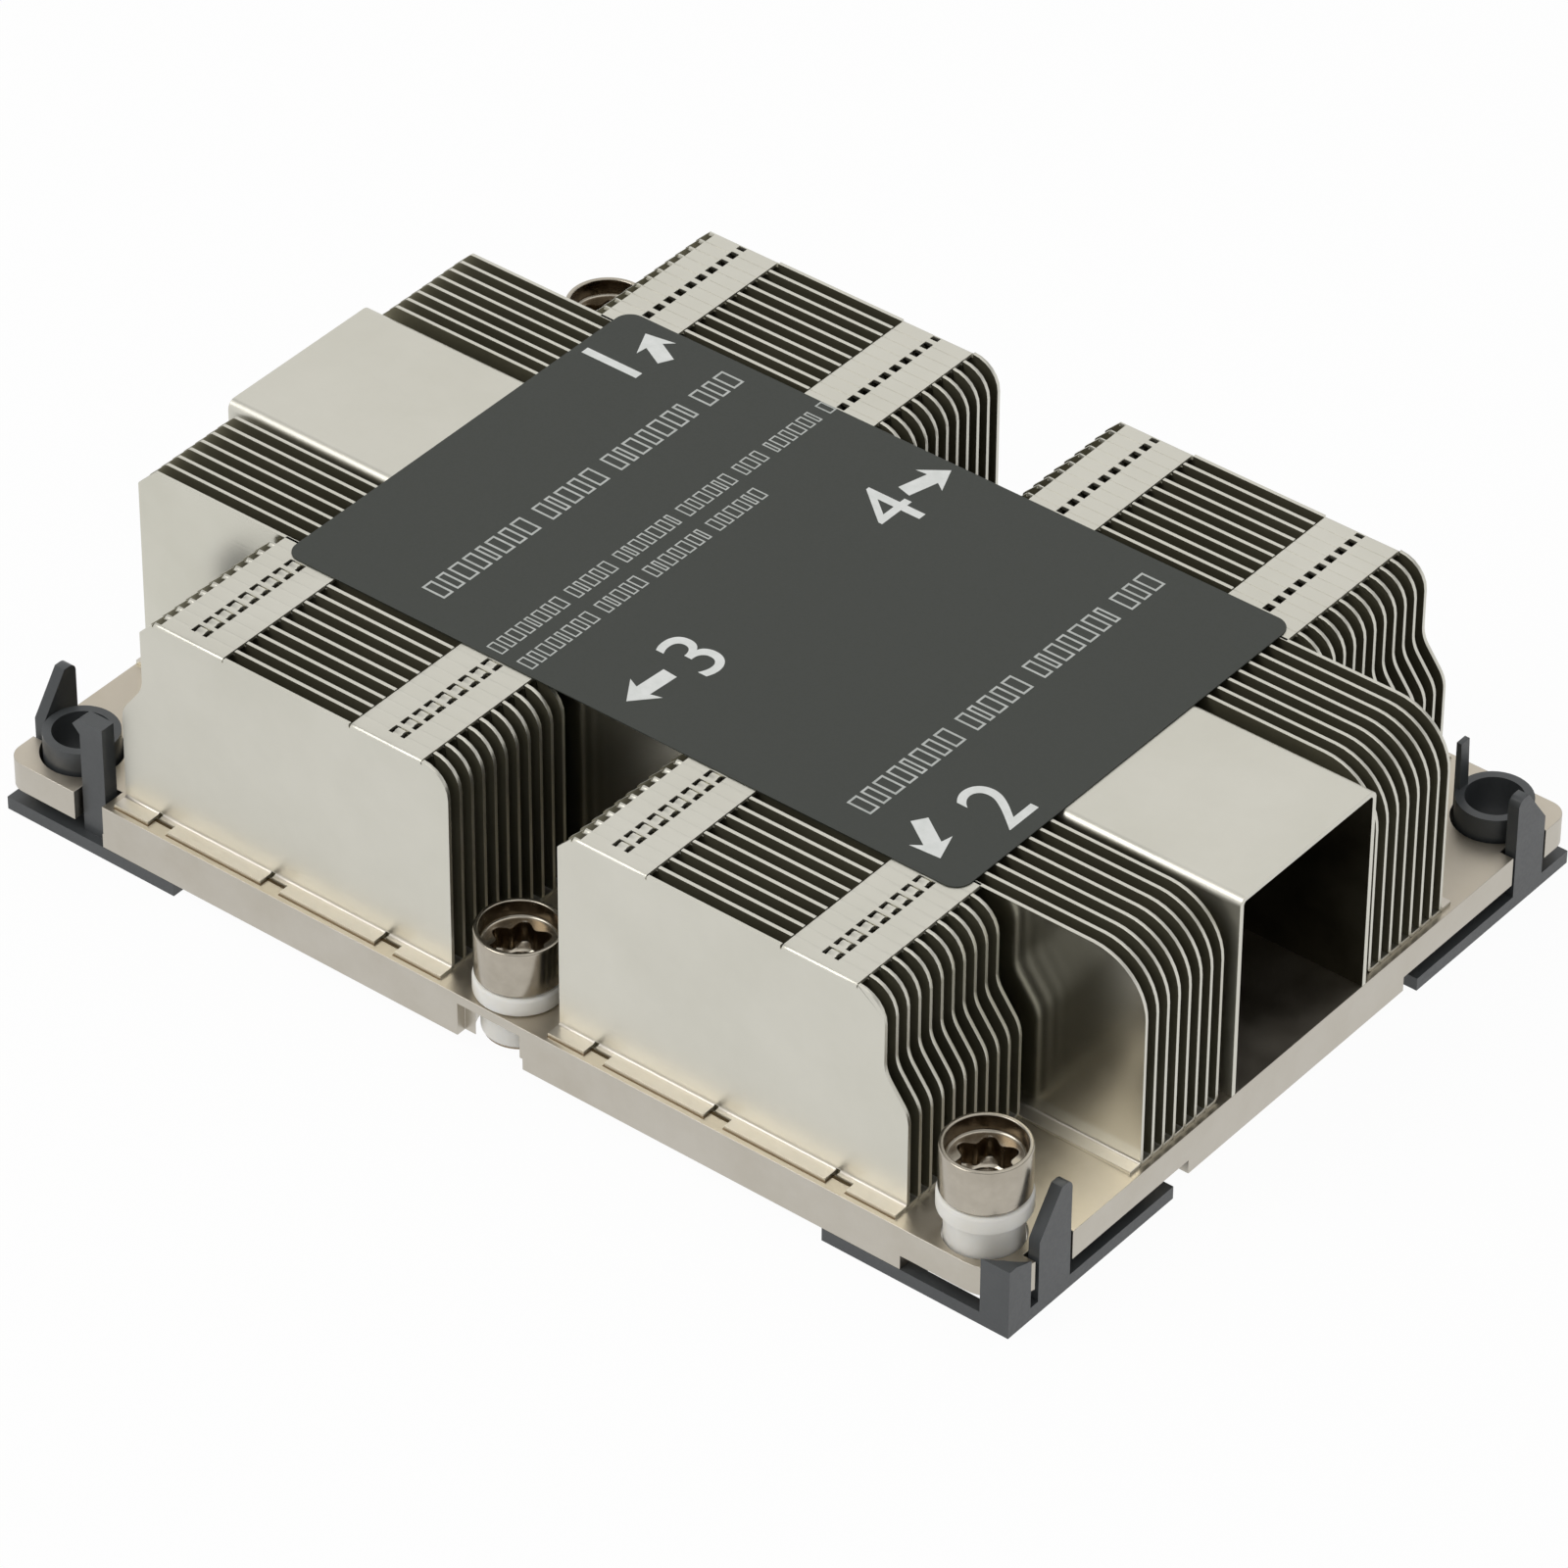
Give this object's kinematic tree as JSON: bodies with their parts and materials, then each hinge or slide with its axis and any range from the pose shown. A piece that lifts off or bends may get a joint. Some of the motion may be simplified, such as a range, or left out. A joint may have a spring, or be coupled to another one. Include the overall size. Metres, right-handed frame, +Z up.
{
  "type": "passive server cpu heatsink",
  "caption": "Low passive server processor heatsink with soldered zipper fins, a square air channel and captive nuts.",
  "frame": {"origin": "middle of the base plate's outline, on the plane that the package carrier stands on", "axes": "+X along the 108 mm side and the air channel, +Y along the 78 mm side towards nuts 1 and 4, +Z up from the carrier to the fins"},
  "size_m": [0.108, 0.078, 0.0265],
  "materials": {
    "plate_nickel": "satin nickel plating on copper",
    "fin_aluminium": "satin sheet",
    "label_film": "matte printed film",
    "sleeve_nylon": "natural nylon, slightly translucent",
    "nut_steel": "zinc-nickel plated, satin",
    "carrier_plastic": "fine moulded grain"
  },
  "bodies": {
    "root": {"base_plate": "plate_nickel", "corner_fin_near_left_01": "fin_aluminium", "corner_fin_near_left_02": "fin_aluminium", "corner_fin_near_left_03": "fin_aluminium", "corner_fin_near_left_04": "fin_aluminium", "corner_fin_near_left_05": "fin_aluminium", "corner_fin_near_left_06": "fin_aluminium", "corner_fin_near_left_07": "fin_aluminium", "corner_fin_near_left_08": "fin_aluminium", "corner_fin_near_left_09": "fin_aluminium", "corner_fin_near_left_10": "fin_aluminium", "corner_fin_near_left_11": "fin_aluminium", "corner_fin_near_right_01": "fin_aluminium", "corner_fin_near_right_02": "fin_aluminium", "corner_fin_near_right_03": "fin_aluminium", "corner_fin_near_right_04": "fin_aluminium", "corner_fin_near_right_05": "fin_aluminium", "corner_fin_near_right_06": "fin_aluminium", "corner_fin_near_right_07": "fin_aluminium", "corner_fin_near_right_08": "fin_aluminium", "corner_fin_near_right_09": "fin_aluminium", "corner_fin_near_right_10": "fin_aluminium", "corner_fin_near_right_11": "fin_aluminium", "corner_fin_far_left_01": "fin_aluminium", "corner_fin_far_left_02": "fin_aluminium", "corner_fin_far_left_03": "fin_aluminium", "corner_fin_far_left_04": "fin_aluminium", "corner_fin_far_left_05": "fin_aluminium", "corner_fin_far_left_06": "fin_aluminium", "corner_fin_far_left_07": "fin_aluminium", "corner_fin_far_left_08": "fin_aluminium", "corner_fin_far_left_09": "fin_aluminium", "corner_fin_far_left_10": "fin_aluminium", "corner_fin_far_left_11": "fin_aluminium", "corner_fin_far_right_01": "fin_aluminium", "corner_fin_far_right_02": "fin_aluminium", "corner_fin_far_right_03": "fin_aluminium", "corner_fin_far_right_04": "fin_aluminium", "corner_fin_far_right_05": "fin_aluminium", "corner_fin_far_right_06": "fin_aluminium", "corner_fin_far_right_07": "fin_aluminium", "corner_fin_far_right_08": "fin_aluminium", "corner_fin_far_right_09": "fin_aluminium", "corner_fin_far_right_10": "fin_aluminium", "corner_fin_far_right_11": "fin_aluminium", "long_fins_near": "fin_aluminium", "long_fins_far": "fin_aluminium", "air_channel": "fin_aluminium", "label": "label_film", "package_carrier": "carrier_plastic"},
    "sleeve_1": {"nut_sleeve_1": "sleeve_nylon"},
    "nut_1": {"captive_nut_1": "nut_steel"},
    "sleeve_2": {"nut_sleeve_2": "sleeve_nylon"},
    "nut_2": {"captive_nut_2": "nut_steel"},
    "sleeve_3": {"nut_sleeve_3": "sleeve_nylon"},
    "nut_3": {"captive_nut_3": "nut_steel"},
    "sleeve_4": {"nut_sleeve_4": "sleeve_nylon"},
    "nut_4": {"captive_nut_4": "nut_steel"}
  },
  "joints": [
    {"name": "sleeve_1_slide", "type": "slide", "parent": "root", "child": "sleeve_1", "axis": [0, 0, 1], "range_m": [-0.0028, 0]},
    {"name": "nut_1_spin", "type": "hinge", "parent": "sleeve_1", "child": "nut_1", "pos_m": [-0.0484, 0.035, 0.0064], "axis": [0, 0, 1], "continuous": true},
    {"name": "sleeve_2_slide", "type": "slide", "parent": "root", "child": "sleeve_2", "axis": [0, 0, 1], "range_m": [-0.0028, 0]},
    {"name": "nut_2_spin", "type": "hinge", "parent": "sleeve_2", "child": "nut_2", "pos_m": [0.0484, -0.035, 0.0064], "axis": [0, 0, 1], "continuous": true},
    {"name": "sleeve_3_slide", "type": "slide", "parent": "root", "child": "sleeve_3", "axis": [0, 0, 1], "range_m": [0, 0.0028]},
    {"name": "nut_3_spin", "type": "hinge", "parent": "sleeve_3", "child": "nut_3", "pos_m": [0, -0.035, 0.0064], "axis": [0, 0, 1], "continuous": true},
    {"name": "sleeve_4_slide", "type": "slide", "parent": "root", "child": "sleeve_4", "axis": [0, 0, 1], "range_m": [0, 0.0028]},
    {"name": "nut_4_spin", "type": "hinge", "parent": "sleeve_4", "child": "nut_4", "pos_m": [0, 0.035, 0.0064], "axis": [0, 0, 1], "continuous": true}
  ]
}
